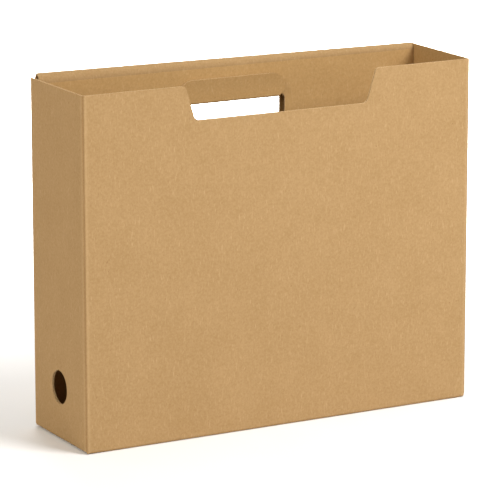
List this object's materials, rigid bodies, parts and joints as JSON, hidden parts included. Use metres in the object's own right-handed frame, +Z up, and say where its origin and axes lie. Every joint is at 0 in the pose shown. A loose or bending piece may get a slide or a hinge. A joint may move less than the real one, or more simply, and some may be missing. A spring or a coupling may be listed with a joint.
{
  "type": "magazine file holder",
  "caption": "Open-topped upright file box folded from kraft corrugated board, with a low front notch, a hand hole with a folded flap in a hollow rolled back, and a finger hole in one end.",
  "frame": {"origin": "centre of the footprint, on the surface the holder stands on", "axes": "+Z up, +X along the long walls away from the end with the finger hole, -Y towards the notched front wall"},
  "size_m": [0.32, 0.086, 0.2635],
  "materials": {
    "kraft_outside": "matte kraft liner of corrugated board",
    "kraft_inside": "matte kraft inner liner",
    "kraft_bottom": "matte kraft liner, bottom panels"
  },
  "bodies": {
    "box": {"front_wall": "kraft_outside", "left_end_wall": "kraft_outside", "right_end_wall": "kraft_outside", "back_wall": "kraft_outside", "back_top_roll": "kraft_outside", "back_lining": "kraft_inside", "glue_tab": "kraft_inside", "front_bottom_flap": "kraft_bottom", "front_glue_corner": "kraft_bottom", "back_bottom_flap": "kraft_bottom", "back_glue_corner": "kraft_bottom", "left_bottom_flap": "kraft_bottom", "right_bottom_flap": "kraft_bottom"},
    "flap_bridge": {"hand_flap_bridge": "kraft_inside"},
    "flap_leaf": {"hand_flap_leaf": "kraft_inside"}
  },
  "joints": [
    {"name": "flap_bridge_crease", "type": "hinge", "parent": "box", "child": "flap_bridge", "pos_m": [0, 0.0414, 0.2316], "axis": [1, 0, 0], "range_deg": [0, 90]},
    {"name": "flap_leaf_crease", "type": "hinge", "parent": "flap_bridge", "child": "flap_leaf", "pos_m": [0, 0.0342, 0.2316], "axis": [1, 0, 0], "range_deg": [0, 90]}
  ],
  "couplings": [
    {"joint": "flap_leaf_crease", "follows": "flap_bridge_crease", "ratio": 1}
  ]
}
